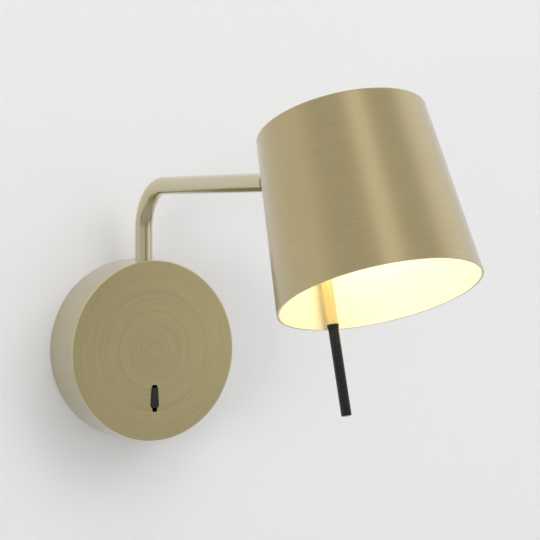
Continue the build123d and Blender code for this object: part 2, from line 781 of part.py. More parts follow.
tongue_radius = tube_radius - tongue_gap
rod_block_front = rod_from_hinge - rod_block_width / 2
rod_block_back = rod_from_hinge + rod_block_width / 2
rod_spigot_start = link_thread_diameter / 2 + 2 * rod_spigot_gap
with BuildPart() as head_link:
    with BuildSketch(head_side(-tongue_thickness / 2)):
        Circle(tongue_radius)
        with Locations((-tongue_shoulder / 2, 0)):
            Rectangle(tongue_shoulder, 2 * tongue_radius)
    extrude(amount=tongue_thickness)
    with BuildSketch(head_section(tongue_shoulder)):
        Circle(tube_radius)
    extrude(amount=link_body_end - tongue_shoulder)
    with BuildSketch(head_section(link_body_end)):
        Circle(link_thread_diameter / 2)
    extrude(amount=rod_block_back - link_body_end)
    with BuildSketch(head_section(tongue_shoulder)):
        Circle(head_lead_diameter / 2 + hole_gap)
    extrude(amount=rod_block_back - tongue_shoulder, mode=Mode.SUBTRACT)
    with BuildSketch(head_side(-tongue_thickness / 2)):
        Circle(m4_diameter / 2 + running_gap)
    extrude(amount=tongue_thickness, mode=Mode.SUBTRACT)

shade_outside = shade_core(-seat_gap, shade_top, -saddle_diameter)
shade_inside = shade_core(shade_wall + seat_gap, shade_ceiling, -saddle_diameter)
with BuildPart() as outer_saddle_washer:
    with BuildSketch(head_section(link_body_end + seat_gap)):
        Circle(saddle_diameter / 2)
        Circle(link_thread_diameter / 2 + thread_gap, mode=Mode.SUBTRACT)
    extrude(amount=saddle_diameter / 2)
    add(shade_outside, mode=Mode.SUBTRACT)

with BuildPart() as inner_saddle_washer:
    with BuildSketch(head_section(rod_block_front - seat_gap)):
        Circle(rod_block_width / 2)
        Circle(link_thread_diameter / 2 + thread_gap, mode=Mode.SUBTRACT)
    extrude(amount=-rod_block_width / 2)
    add(shade_inside, mode=Mode.INTERSECT)

with BuildPart() as rod_block:
    with BuildSketch(head_section(rod_block_front)):
        with Locations((0, (rod_block_above - rod_block_below) / 2)):
            Rectangle(rod_block_width, rod_block_above + rod_block_below)
    extrude(amount=rod_block_width)
    fillet(rod_block.edges().filter_by(Axis((0, 0, 0), head.z_dir)), radius=rod_block_edge_radius)
    # The underside is cut square to the leaning rod.
    with BuildSketch(rod_top.offset(rod_block_below - rod_block_cut)):
        Rectangle(3 * rod_block_width, 3 * rod_block_width)
    extrude(amount=rod_block_width, mode=Mode.SUBTRACT)
    with BuildSketch(head_section(rod_block_front)):
        Circle(link_thread_diameter / 2 + thread_gap)
    extrude(amount=rod_block_width, mode=Mode.SUBTRACT)
    with BuildSketch(rod_top.offset(rod_spigot_start - rod_spigot_gap)):
        Circle(rod_spigot_diameter / 2 + thread_gap)
    extrude(amount=rod_block_below, mode=Mode.SUBTRACT)

# ---------------------------------------------------------------- aiming rod and grip

rod_shoulder = rod_block_below - rod_block_cut + seat_gap
with BuildPart() as handle_rod:
    with BuildSketch(rod_top.offset(rod_spigot_start)):
        Circle(rod_spigot_diameter / 2)
    extrude(amount=rod_shoulder - rod_spigot_start)
    with BuildSketch(rod_top.offset(rod_shoulder)):
        Circle(rod_diameter / 2)
    extrude(amount=rod_end - rod_shoulder)
    with BuildSketch(rod_top.offset(rod_end)):
        Circle(grip_pin_diameter / 2)
    extrude(amount=grip_pin_length)

grip_radius = grip_diameter / 2
grip_collar_radius = grip_collar_diameter / 2
grip_top = rod_end + seat_gap
grip_end = grip_top + grip_length
grip_axis = Axis(origin=rod_top.origin, direction=rod_top.z_dir)
grip_section = Plane(origin=rod_top.origin, x_dir=rod_top.x_dir, z_dir=rod_top.y_dir)
with BuildPart() as handle_grip:
    with BuildSketch(grip_section):
        with BuildLine():
            Polyline(
                (grip_radius - grip_end_radius, -grip_end),
                (0, -grip_end),
                (0, -grip_top),
                (grip_collar_radius, -grip_top),
                (grip_collar_radius, -grip_top - grip_collar_land),
                (grip_radius, -grip_top - grip_collar_length),
                (grip_radius, -grip_end + grip_end_radius),
            )
            RadiusArc(
                (grip_radius, -grip_end + grip_end_radius),
                (grip_radius - grip_end_radius, -grip_end),
                grip_end_radius,
            )
        make_face()
    revolve(axis=grip_axis)
    with BuildSketch(rod_top.offset(grip_top)):
        Circle(grip_pin_diameter / 2 + thread_gap)
    extrude(amount=grip_pin_length + grip_pin_end_gap, mode=Mode.SUBTRACT)

# ---------------------------------------------------------------- shade

shade_section = Plane(origin=head_point(0, -hinge_to_shade_axis, 0), x_dir=head.x_dir, z_dir=-head.y_dir)
slant_wall = shade_wall * sqrt(1 + shade_taper**2)
engine_screw_radius = engine_screw_circle / 2
with BuildPart() as shade_shell:
    with BuildSketch(shade_section):
        with BuildLine():
            Polyline(
                (0, shade_top),
                (shade_radius(shade_top), shade_top),
                (shade_radius(shade_rim), shade_rim),
                (shade_radius(shade_rim) - slant_wall, shade_rim),
                (shade_radius(shade_ceiling) - slant_wall, shade_ceiling),
                (0, shade_ceiling),
                close=True,
            )
        make_face()
    revolve(axis=shade_axis)
    top_edge = shade_shell.edges().filter_by(GeomType.CIRCLE).group_by(Axis((0, 0, 0), head.z_dir))[-1]
    fillet(top_edge, radius=shade_edge_radius)
    # Blind bosses under the closed top take the engine's screws.
    with BuildSketch(head_level(hinge_to_shade_axis, shade_ceiling)):
        with PolarLocations(engine_screw_radius, 3, start_angle=-90):
            Circle(boss_diameter / 2)
    extrude(amount=-boss_height)
    with BuildSketch(head_level(hinge_to_shade_axis, shade_ceiling - boss_height)):
        with PolarLocations(engine_screw_radius, 3, start_angle=-90):
            Circle(m3_diameter / 2 + thread_gap)
    extrude(amount=boss_height - boss_hole_floor, mode=Mode.SUBTRACT)
    with BuildSketch(head_section(link_body_end)):
        Circle(link_thread_diameter / 2 + thread_gap)
    extrude(amount=rod_block_front - link_body_end, mode=Mode.SUBTRACT)

# ---------------------------------------------------------------- LED engine

sink_radius = sink_diameter / 2
sink_base_bottom = -(sink_base_top + sink_base_thickness)
column_top = shade_ceiling - boss_height - seat_gap
fin_height = sink_base_top + column_top - fin_top_gap
with BuildPart() as heat_sink:
    with BuildSketch(head_level(hinge_to_shade_axis, sink_base_bottom)):
        Circle(sink_radius)
    extrude(amount=sink_base_thickness)
    with BuildSketch(head_level(hinge_to_shade_axis, -sink_base_top)):
        with PolarLocations(sink_radius / 2, fin_count, start_angle=-90):
            Rectangle(sink_radius, fin_thickness)
        Circle(sink_hub_diameter / 2)
    extrude(amount=fin_height)
    with BuildSketch(head_level(hinge_to_shade_axis, -sink_base_top)):
        with PolarLocations(engine_screw_radius, 3, start_angle=-90):
            Circle(boss_diameter / 2)
    extrude(amount=sink_base_top + column_top)
    with BuildSketch(head_level(hinge_to_shade_axis, sink_base_bottom)):
        with PolarLocations(engine_screw_radius, 3, start_angle=-90):
            Circle(m3_diameter / 2 + hole_gap / 2)
    extrude(amount=column_top - sink_base_bottom, mode=Mode.SUBTRACT)
    # A channel brings the lead in over the base to the hub.
    with BuildSketch(head_section(rod_block_back)):
        Rectangle(head_lead_diameter + 2 * hole_gap, head_lead_diameter + 2 * hole_gap)
    extrude(amount=hinge_to_shade_axis - rod_block_back - sink_hub_diameter / 2, mode=Mode.SUBTRACT)

engine_screw_length = column_top - sink_base_bottom + boss_height - engine_screw_end_gap
engine_screw = screw(m3_diameter, engine_screw_length, m3_head_diameter, m3_head_height, cap_socket_width)
with BuildPart() as engine_screws:
    with Locations(head_level(hinge_to_shade_axis, sink_base_bottom - seat_gap).location):
        with PolarLocations(engine_screw_radius, 3, start_angle=-90):
            add(engine_screw)

board_top = sink_base_bottom - seat_gap
with BuildPart() as led_board:
    with BuildSketch(head_level(hinge_to_shade_axis, board_top)):
        Circle(board_diameter / 2)
    extrude(amount=-board_thickness)

with BuildPart() as led_chips:
    with BuildSketch(head_level(hinge_to_shade_axis, board_top - board_thickness)):
        with PolarLocations(outer_chip_circle / 2, outer_chip_count):
            Rectangle(chip_size, chip_size)
        with PolarLocations(inner_chip_circle / 2, inner_chip_count):
            Rectangle(chip_size, chip_size)
    extrude(amount=-chip_height)

diffuser_radius = diffuser_diameter / 2
diffuser_top = -sink_base_top
diffuser_fold = diffuser_top - sink_base_thickness - diffuser_skirt
with BuildPart() as diffuser:
    for inset, mode in ((0, Mode.ADD), (diffuser_wall, Mode.SUBTRACT)):
        radius = diffuser_radius - inset
        low_point = diffuser_fold - diffuser_dome + inset
        drop = diffuser_fold - low_point
        with BuildSketch(shade_section) as diffuser_profile:
            with BuildLine():
                Polyline((0, low_point), (0, diffuser_top), (radius, diffuser_top), (radius, diffuser_fold))
                RadiusArc((radius, diffuser_fold), (0, low_point), (radius**2 + drop**2) / 2 / drop)
            make_face()
        revolve(diffuser_profile.sketch, axis=shade_axis, mode=mode)

head_lead_start = tongue_shoulder + head_lead_start_gap
head_lead_end = hinge_to_shade_axis - sink_hub_diameter / 2 - head_lead_end_gap
with BuildPart() as head_lead:
    with BuildSketch(head_section(head_lead_start)):
        Circle(head_lead_diameter / 2)
    extrude(amount=head_lead_end - head_lead_start)

# ---------------------------------------------------------------- rocker switch

paddle_pivot = Plane(
    origin=(0, paddle_pivot_depth - canopy_depth, -switch_middle),
    x_dir=(1, 0, 0),
    z_dir=(0, -cos(radians(paddle_throw / 2)), -sin(radians(paddle_throw / 2))),
)
paddle_top = switch_middle - switch_top - paddle_top_gap
paddle_widest = switch_widest - paddle_bottom_gap - switch_middle
paddle_bottom = switch_shoulder - paddle_bottom_gap - switch_middle
paddle_front = paddle_pivot_depth + paddle_proud
with BuildPart() as switch_paddle:
    with BuildSketch(paddle_pivot.offset(paddle_front - paddle_depth)):
        with BuildLine():
            Polyline(
                (-switch_top_width / 2 + paddle_side_gap, paddle_top),
                (switch_top_width / 2 - paddle_side_gap, paddle_top),
                (switch_widest_width / 2 - paddle_side_gap, -paddle_widest),
                (switch_stub_width / 2 - paddle_side_gap, -paddle_bottom),
                (-switch_stub_width / 2 + paddle_side_gap, -paddle_bottom),
                (-switch_widest_width / 2 + paddle_side_gap, -paddle_widest),
                close=True,
            )
        make_face()
    extrude(amount=paddle_depth)
    # The front is crowned about an axis across it.
    crown_half = (paddle_top + paddle_bottom) / 2
    crown_radius = (crown_half**2 + paddle_crown**2) / 2 / paddle_crown
    crown_plane = Plane(origin=paddle_pivot.origin, x_dir=paddle_pivot.y_dir, z_dir=paddle_pivot.x_dir)
    with BuildSketch(crown_plane.offset(-switch_widest_width)):
        with Locations(((paddle_top - paddle_bottom) / 2, crown_radius - paddle_front)):
            Circle(crown_radius)
    extrude(amount=2 * switch_widest_width, mode=Mode.INTERSECT)
    with BuildSketch(crown_plane.offset(-switch_body_width / 2 + switch_body_wall + 2 * running_gap)):
        Circle(paddle_hub_diameter / 2)
    extrude(amount=switch_body_width - 2 * switch_body_wall - 4 * running_gap)
    with BuildSketch(crown_plane.offset(-switch_body_width)):
        Circle(switch_pin_diameter / 2 + running_gap)
    extrude(amount=2 * switch_body_width, mode=Mode.SUBTRACT)

switch_front = face_back - seat_gap
with BuildPart() as switch_body:
    with BuildSketch(Plane.XZ.offset(switch_front)):
        with Locations((0, -switch_centre)):
            Rectangle(switch_body_width, switch_box_length)
    extrude(amount=-switch_body_depth)
    with BuildSketch(Plane.XZ.offset(switch_front)):
        with Locations((0, -switch_centre)):
            SlotOverall(switch_box_length + 2 * switch_ear_reach, switch_ear_width, rotation=90)
    extrude(amount=-switch_ear_thickness)
    with BuildSketch(Plane.XZ.offset(switch_front)):
        with Locations((0, -switch_centre)):
            Rectangle(switch_body_width - 2 * switch_body_wall, switch_box_length - 2 * switch_body_wall)
    extrude(amount=-(switch_body_depth - switch_body_wall), mode=Mode.SUBTRACT)
    with BuildSketch(Plane.XZ.offset(switch_front)):
        with Locations(switch_stud_places):
            Circle(m3_diameter / 2 + hole_gap / 2)
    extrude(amount=-switch_ear_thickness, mode=Mode.SUBTRACT)
    with BuildSketch(Plane.YZ.offset(-switch_body_width)):
        with Locations((paddle_pivot.origin.Y, paddle_pivot.origin.Z)):
            Circle(switch_pin_diameter / 2 + running_gap / 2)
    extrude(amount=2 * switch_body_width, mode=Mode.SUBTRACT)

with BuildPart() as switch_pin:
    with BuildSketch(Plane.YZ.offset(seat_gap - switch_body_width / 2)):
        with Locations((paddle_pivot.origin.Y, paddle_pivot.origin.Z)):
            Circle(switch_pin_diameter / 2)
    extrude(amount=switch_body_width - 2 * seat_gap)

switch_nut_seat = switch_front - switch_ear_thickness - seat_gap
switch_stud_nut = nut(m3_nut_width, m3_nut_height, m3_diameter + 2 * thread_gap)
with BuildPart() as switch_nuts:
    with Locations([towards_wall(x, switch_nut_seat, z) for x, z in switch_stud_places]):
        add(switch_stud_nut)

with BuildPart() as switch_terminals:
    with BuildSketch(Plane.XZ.offset(switch_front - switch_body_depth - seat_gap)):
        with Locations(
            (0, switch_terminal_spacing / 2 - switch_centre),
            (0, -switch_terminal_spacing / 2 - switch_centre),
        ):
            Rectangle(switch_terminal_width, switch_terminal_thickness)
    extrude(amount=-switch_terminal_length)

# ---------------------------------------------------------------- files

sub_parts = {
    "wall_bracket": wall_bracket,
    "cable_grommet": cable_grommet,
    "canopy_shell": canopy_shell,
    "swivel_block_studs": swivel_block_studs,
    "switch_studs": switch_studs,
    "canopy_screws": canopy_screws,
    "led_driver": led_driver,
    "driver_screws": driver_screws,
    "driver_lead": driver_lead,
    "terminal_block": terminal_block,
    "terminal_screws": terminal_screws,
    "terminal_fixings": terminal_fixings,
    "earth_screw": earth_screw,
    "swivel_block": swivel_block,
    "swivel_block_nuts": swivel_block_nuts,
    "swivel_stop_pin": swivel_stop_pin,
    "swivel_thrust_washer": swivel_thrust_washer,
    "swivel_stop_washer": swivel_stop_washer,
    "swivel_spring_washer": swivel_spring_washer,
    "swivel_nut": swivel_nut,
    "arm_tube": arm_tube,
    "base_nipple": base_nipple,
    "head_nipple": head_nipple,
    "arm_lead": arm_lead,
    "hinge_fork": hinge_fork,
    "fork_lock_screw": fork_lock_screw,
    "hinge_screw": hinge_screw,
    "hinge_washers": hinge_washers,
    "head_link": head_link,
    "outer_saddle_washer": outer_saddle_washer,
    "inner_saddle_washer": inner_saddle_washer,
    "rod_block": rod_block,
    "handle_rod": handle_rod,
    "handle_grip": handle_grip,
    "shade_shell": shade_shell,
    "heat_sink": heat_sink,
    "engine_screws": engine_screws,
    "led_board": led_board,
    "led_chips": led_chips,
    "diffuser": diffuser,
    "head_lead": head_lead,
    "switch_paddle": switch_paddle,
    "switch_body": switch_body,
    "switch_pin": switch_pin,
    "switch_nuts": switch_nuts,
    "switch_terminals": switch_terminals,
}

os.makedirs("parts", exist_ok=True)
for node_name, sub_part in sub_parts.items():
    sub_part.part.label = node_name
    export_step(sub_part.part, f"parts/{node_name}.step")
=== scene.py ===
"""Looks of a bedside wall reading lamp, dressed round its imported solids.

A round canopy, a bent tube arm and a tapered shade are satin brass-toned metal. A lit engine glows
inside the shade, and the aiming rod ends in a black grip. Sizes are in metres in the lamp's own
frame: the wall is the plane y = 0, -Y points out into the room and +Z is up.
"""

import logging
import math
from dataclasses import dataclass, field
from enum import Enum

import bpy
import numpy as np
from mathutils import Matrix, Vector

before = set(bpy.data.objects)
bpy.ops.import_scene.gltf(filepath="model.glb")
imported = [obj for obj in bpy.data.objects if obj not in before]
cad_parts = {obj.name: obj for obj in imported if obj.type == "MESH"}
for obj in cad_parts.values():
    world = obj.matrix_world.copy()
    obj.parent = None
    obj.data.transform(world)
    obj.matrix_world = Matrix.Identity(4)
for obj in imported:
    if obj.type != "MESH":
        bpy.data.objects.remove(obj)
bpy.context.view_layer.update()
LOG = logging.getLogger("reading_lamp")
MM = 0.001

# The factor and the two colours of a Mix node that mixes colours, and its result.
MIX_INPUTS = (0, 6, 7)
MIX_OUTPUT = 2

Colour = tuple[float, float, float]


# ------------------------------------------------------------------------------ shader expressions


class Term:
    """A value in a shader: wraps an output socket, so that maths on it adds the nodes it needs."""

    def __init__(self, sheet: "Sheet", socket: bpy.types.NodeSocket) -> None:
        """Keeps the sheet that owns the nodes and the socket that carries the value."""
        self.sheet = sheet
        self.socket = socket

    def _math(self, operation: str, *values: "Term | float") -> "Term":
        """Adds a Math node.

        Args:
            operation: the Math node's operation.
            values: its inputs in order.

        Returns:
            The node's result.
        """
        inputs = dict(enumerate(values))
        return self.sheet.term("ShaderNodeMath", {"operation": operation}, inputs)

    def __add__(self, other: "Term | float") -> "Term":
        """Sum."""
        return self._math("ADD", self, other)

    def __sub__(self, other: "Term | float") -> "Term":
        """Difference."""
        return self._math("SUBTRACT", self, other)

    def __rsub__(self, other: float) -> "Term":
        """Difference from a number."""
        return self._math("SUBTRACT", other, self)

    def __mul__(self, other: "Term | float") -> "Term":
        """Product."""
        return self._math("MULTIPLY", self, other)

    def __truediv__(self, other: "Term | float") -> "Term":
        """Quotient."""
        return self._math("DIVIDE", self, other)

    def root(self) -> "Term":
        """Square root."""
        return self._math("SQRT", self)

    def absolute(self) -> "Term":
        """Value without its sign."""
        return self._math("ABSOLUTE", self)

    def above(self, limit: "Term | float") -> "Term":
        """1 where the value is above the limit, else 0."""
        return self._math("GREATER_THAN", self, limit)

    def largest(self, other: "Term | float") -> "Term":
        """The larger of two values."""
        return self._math("MAXIMUM", self, other)

    def turn_of(self, other: "Term") -> "Term":
        """Angle of the point (other, self) about the origin, in radians."""
        return self._math("ARCTAN2", self, other)

    def ramp(self, low: float, high: float, start: float = 0.0, end: float = 1.0) -> "Term":
        """Smooth step.

        Args:
            low: the value at which the step starts.
            high: the value at which it ends.
            start: the result at and before low.
            end: the result at and after high.

        Returns:
            The stepped value.
        """
        settings = {"interpolation_type": "SMOOTHSTEP"}
        inputs = {"Value": self, "From Min": low, "From Max": high, "To Min": start, "To Max": end}
        return self.sheet.term("ShaderNodeMapRange", settings, inputs)


class Sheet:
    """The node tree of one material or of the world."""

    def __init__(self, owner: "bpy.types.Material | bpy.types.World") -> None:
        """Empties the owner's tree and adds its output."""
        owner.use_nodes = True
        self.tree = owner.node_tree
        self.tree.nodes.clear()
        kind = "World" if isinstance(owner, bpy.types.World) else "Material"
        self.output = self.tree.nodes.new(f"ShaderNodeOutput{kind}")

    def node(self, kind: str, settings: dict, inputs: dict) -> bpy.types.Node:
        """Adds any node.

        Args:
            kind: the node's type.
            settings: properties, which are set first.
            inputs: input name or index to a number, a colour or a Term.

        Returns:
            The node.
        """
        made = self.tree.nodes.new(kind)
        for name, value in settings.items():
            setattr(made, name, value)
        for name, value in inputs.items():
            if isinstance(value, Term):
                self.tree.links.new(value.socket, made.inputs[name])
            else:
                made.inputs[name].default_value = value
        return made

    def term(self, kind: str, settings: dict, inputs: dict, output: "int | str" = 0) -> Term:
        """Adds any node and gives one of its outputs as a Term."""
        return Term(self, self.node(kind, settings, inputs).outputs[output])

    def place(self) -> tuple[Term, Term, Term]:
        """The point's x, y and z in the lamp's frame, in metres."""
        return self.split(self.term("ShaderNodeTexCoord", {}, {}, "Object"))

    def split(self, vector: Term) -> tuple[Term, Term, Term]:
        """The three parts of a vector."""
        parts = self.node("ShaderNodeSeparateXYZ", {}, {0: vector})
        return tuple(Term(self, parts.outputs[axis]) for axis in range(3))

    def join(self, x: "Term | float", y: "Term | float", z: "Term | float") -> Term:
        """A vector from its three parts."""
        return self.term("ShaderNodeCombineXYZ", {}, {0: x, 1: y, 2: z})

    def noise(
        self, vector: Term, scale: float, detail: float = 2.0, roughness: float = 0.5
    ) -> Term:
        """Noise about 0, of about -0.5 to 0.5.

        Args:
            vector: where to read it.
            scale: its fineness, per unit of the vector.
            detail: how many finer layers it has.
            roughness: how strong those layers are.

        Returns:
            The noise value.
        """
        inputs = {"Vector": vector, "Scale": scale, "Detail": detail, "Roughness": roughness}
        return self.term("ShaderNodeTexNoise", {}, inputs) - 0.5

    def dim(self, colour: "Term | Colour", gain: Term) -> Term:
        """A colour times a grey gain near 1."""
        grey = self.join(gain, gain, gain)
        return self.term("ShaderNodeVectorMath", {"operation": "MULTIPLY"}, {0: colour, 1: grey})

    def mix_colour(self, first: "Term | Colour", second: "Term | Colour", factor: Term) -> Term:
        """Goes from the first colour to the second as the factor goes from 0 to 1."""
        colours = (first, second)
        values = [part if isinstance(part, Term) else (*part, 1.0) for part in colours]
        inputs = dict(zip(MIX_INPUTS, (factor, *values)))
        return self.term("ShaderNodeMix", {"data_type": "RGBA"}, inputs, MIX_OUTPUT)

    def bump(self, height: Term, depth: float) -> Term:
        """A normal from a height.

        Args:
            height: the height pattern, of about -0.5 to 0.5.
            depth: how deep a step of 1 is, in metres.

        Returns:
            The normal.
        """
        inputs = {"Strength": 1.0, "Distance": depth, "Height": height}
        return self.term("ShaderNodeBump", {}, inputs)

    def surface(self, inputs: dict) -> Term:
        """The Principled shader with the given sockets, linked to the output."""
        shader = self.term("ShaderNodeBsdfPrincipled", {}, inputs)
        self.tree.links.new(shader.socket, self.output.inputs["Surface"])
        return shader


# ------------------------------------------------------------------------------------- finishes


# A clear lacquer over polished metal, and the soft bloom that it has on broad surfaces.
LACQUER: dict[str, float] = {"Coat Roughness": 0.24, "Coat IOR": 1.6}
BLOOM: dict[str, float] = {"Sheen Weight": 0.18, "Sheen Roughness": 0.4}


@dataclass(frozen=True)
class Finish:
    """A finish of one kind of surface, made once as a Blender material."""

    name: str
    colour: Colour
    roughness: float

    def material(self) -> bpy.types.Material:
        """The finish as a material, which is made at its first use."""
        made = bpy.data.materials.get(self.name)
        if made is None:
            made = bpy.data.materials.new(self.name)
            self.paint(Sheet(made))
        return made

    def paint(self, sheet: Sheet) -> None:
        """Adds the finish's nodes."""
        raise NotImplementedError


@dataclass(frozen=True)
class HeadFrame:
    """The tilted frame of the head at rest."""

    hinge: tuple[float, float, float] = (0.0, -211.6 * MM, 113.8 * MM)
    tilt: float = math.radians(22.3)
    axis_out: float = 63.9 * MM

    def local(self, sheet: Sheet) -> tuple[Term, Term, Term]:
        """Where a surface point lies about the shade's axis.

        Args:
            sheet: the sheet that gets the nodes.

        Returns:
            Its distances sideways, outward from the wall and up along the axis, from the point of
            the axis that is straight out from the hinge.
        """
        up = Vector((0.0, math.sin(self.tilt), math.cos(self.tilt)))
        out = Vector((0.0, -math.cos(self.tilt), math.sin(self.tilt)))
        centre = Vector(self.hinge) + out * self.axis_out
        x, y, z = sheet.place()
        dy, dz = y - centre.y, z - centre.z
        return x, dy * out.y + dz * out.z, dy * up.y + dz * up.z


HEAD = HeadFrame()


@dataclass(frozen=True)
class TurnedMetal(Finish):
    """Metal turned on a lathe about the canopy's axis: rings on its face and round its side."""

    groove_radii: tuple[float, ...] = (7.0 * MM, 18.0 * MM, 27.4 * MM, 40.6 * MM)
    groove_width: float = 0.35 * MM
    ring_period: float = 0.8 * MM
    broad_period: float = 5.6 * MM
    mark_period: float = 1.5 * MM
    mark_width: float = 0.06
    ring_length: float = 170.0 * MM
    mottle_scale: float = 60.0
    face_level: float = 35.2 * MM
    edge_level: float = 34.7 * MM
    edge_radius: float = 61.75 * MM
    # Painted reflection: the side is painted a paler copy of the face's metal, standing in for its
    # pale grazing reflection.
    side_reflection_colour: Colour = (0.53, 0.46, 0.29)
    # Painted highlight: a lighter colour along the face's rounded edge stands in for a thin bright
    # reflection there.
    edge_highlight_colour: Colour = (0.70, 0.60, 0.29)
    ring_tone: float = 0.22
    broad_tone: float = 0.05
    mottle_tone: float = 0.06
    groove_tone: float = 0.14
    mark_tone: float = 0.09
    ring_matt: float = 0.10
    groove_matt: float = 0.08
    groove_relief: float = 1.5
    mark_relief: float = 0.8
    depth: float = 0.010 * MM

    def paint(self, sheet: Sheet) -> None:
        """Rings are noise of the radius on the face, and of the height above the wall beside it."""
        x, y, z = sheet.place()
        radius = (x * x + z * z).root()
        on_face = (y * -1.0).above(self.face_level)
        across = on_face * radius + (1.0 - on_face) * y
        east, north = x / self.ring_length, z / self.ring_length

        def layer(period: float, shift: float, detail: float, roughness: float = 0.5) -> Term:
            """One layer of rings, shifted so that it is unlike the others."""
            vector = sheet.join(across / period, east, north + shift)
            return sheet.noise(vector, 1.0, detail, roughness)

        rings = layer(self.ring_period, shift=0.0, detail=3.0, roughness=0.6)
        broad = layer(self.broad_period, shift=4.0, detail=1.0)
        marks = layer(self.mark_period, shift=9.0, detail=2.0)
        marks = marks.absolute().ramp(0.0, self.mark_width, 1.0, 0.0) * on_face
        mottle = sheet.noise(sheet.join(x, y, z), self.mottle_scale)
        grooves = None
        for place in self.groove_radii:
            line = (radius - place).absolute().ramp(0.0, self.groove_width, 1.0, 0.0)
            grooves = line if grooves is None else grooves.largest(line)
        grooves = grooves * on_face
        gain = rings * self.ring_tone + broad * self.broad_tone + mottle * self.mottle_tone + 1.0
        gain = gain - grooves * self.groove_tone - marks * self.mark_tone
        relief = rings - grooves * self.groove_relief - marks * self.mark_relief
        # The side gets its paler copy of the metal here, as painted reflection.
        metal = sheet.mix_colour(self.side_reflection_colour, self.colour, on_face)
        # Painted highlight: the face's rounded edge is painted lighter, as a thin bright line.
        highlight_edge = (y * -1.0).above(self.edge_level) * radius.above(self.edge_radius)
        metal = sheet.mix_colour(metal, self.edge_highlight_colour, highlight_edge)
        sheet.surface({
            "Base Color": sheet.dim(metal, gain),
            "Metallic": 1.0,
            **LACQUER,
            **BLOOM,
            "Coat Weight": 1.0,
            "Roughness": rings * self.ring_matt + self.roughness + grooves * self.groove_matt,
            "Normal": sheet.bump(relief, self.depth),
        })


@dataclass(frozen=True)
class SpunMetal(Finish):
    """The shade's metal: brushed round its axis outside, pale and satin inside."""

    inside: Colour = (0.90, 0.81, 0.585)
    top_radius: float = 50.0 * MM
    bottom_radius: float = 59.25 * MM
    top: float = 8.3 * MM
    top_margin: float = 0.2 * MM
    height: float = 105.0 * MM
    inside_depth: float = 0.9 * MM
    line_height: float = 0.42 * MM
    streak_height: float = 0.9 * MM
    line_length: float = 26.0 * MM
    line_tone: float = 0.26
    streak_tone: float = 0.16
    inside_tone: float = 0.03
    line_matt: float = 0.12
    inside_matt: float = 0.12
    inside_metallic: float = 0.15
    depth: float = 0.016 * MM

    def paint(self, sheet: Sheet) -> None:
        """Lines are noise that is long round the axis and short along it.

        What is deeper under the outer skin than inside_depth, and isn't the closed top, is inside.
        """
        side, out, up = HEAD.local(sheet)
        radius = (side * side + out * out).root()
        taper = (self.bottom_radius - self.top_radius) / self.height
        skin = (up * -1.0 + self.top) * taper + self.top_radius
        on_top = up.above(self.top - self.top_margin)
        inner = (skin - self.inside_depth).above(radius) * (1.0 - on_top)
        across = on_top * radius + (1.0 - on_top) * up
        east, north = side / self.line_length, out / self.line_length

        def layer(height: float, shift: float, roughness: float) -> Term:
            """One layer of lines, shifted so that it is unlike the other."""
            vector = sheet.join(east, across / height, north + shift)
            return sheet.noise(vector, 1.0, 3.0, roughness)

        lines = layer(self.line_height, shift=0.0, roughness=0.65)
        streaks = layer(self.streak_height, shift=3.0, roughness=0.7)
        gain = lines * self.line_tone + streaks * self.streak_tone + 1.0
        outside = sheet.dim(self.colour, gain)
        paint = sheet.dim(self.inside, lines * self.inside_tone + 1.0)
        sheet.surface({
            "Base Color": sheet.mix_colour(outside, paint, inner),
            "Metallic": 1.0 - inner * (1.0 - self.inside_metallic),
            **LACQUER,
            **BLOOM,
            "Coat Weight": 1.0 - inner,
            "Roughness": lines * self.line_matt + self.roughness + inner * self.inside_matt,
            "Normal": sheet.bump(lines * (1.0 - inner), self.depth),
        })


@dataclass(frozen=True)
class BrushedMetal(Finish):
    """Satin or plated metal with a fine grain that runs in no single direction."""

    grain: float = 2600.0
    broad_grain: float = 55.0
    depth: float = 0.004 * MM
    tone: float = 0.08
    grain_matt: float = 0.10
    broad_matt: float = 0.06

    def paint(self, sheet: Sheet) -> None:
        """Two layers of noise, a fine one for the grain and a broad one for handling marks."""
        vector = sheet.join(*sheet.place())
        fine = sheet.noise(vector, self.grain, 3.0, 0.6)
        broad = sheet.noise(vector, self.broad_grain)
        gain = fine * self.tone + broad * self.tone + 1.0
        sheet.surface({
            "Base Color": sheet.dim(self.colour, gain),
            "Metallic": 1.0,
            "Roughness": fine * self.grain_matt + broad * self.broad_matt + self.roughness,
            "Normal": sheet.bump(fine, self.depth),
        })


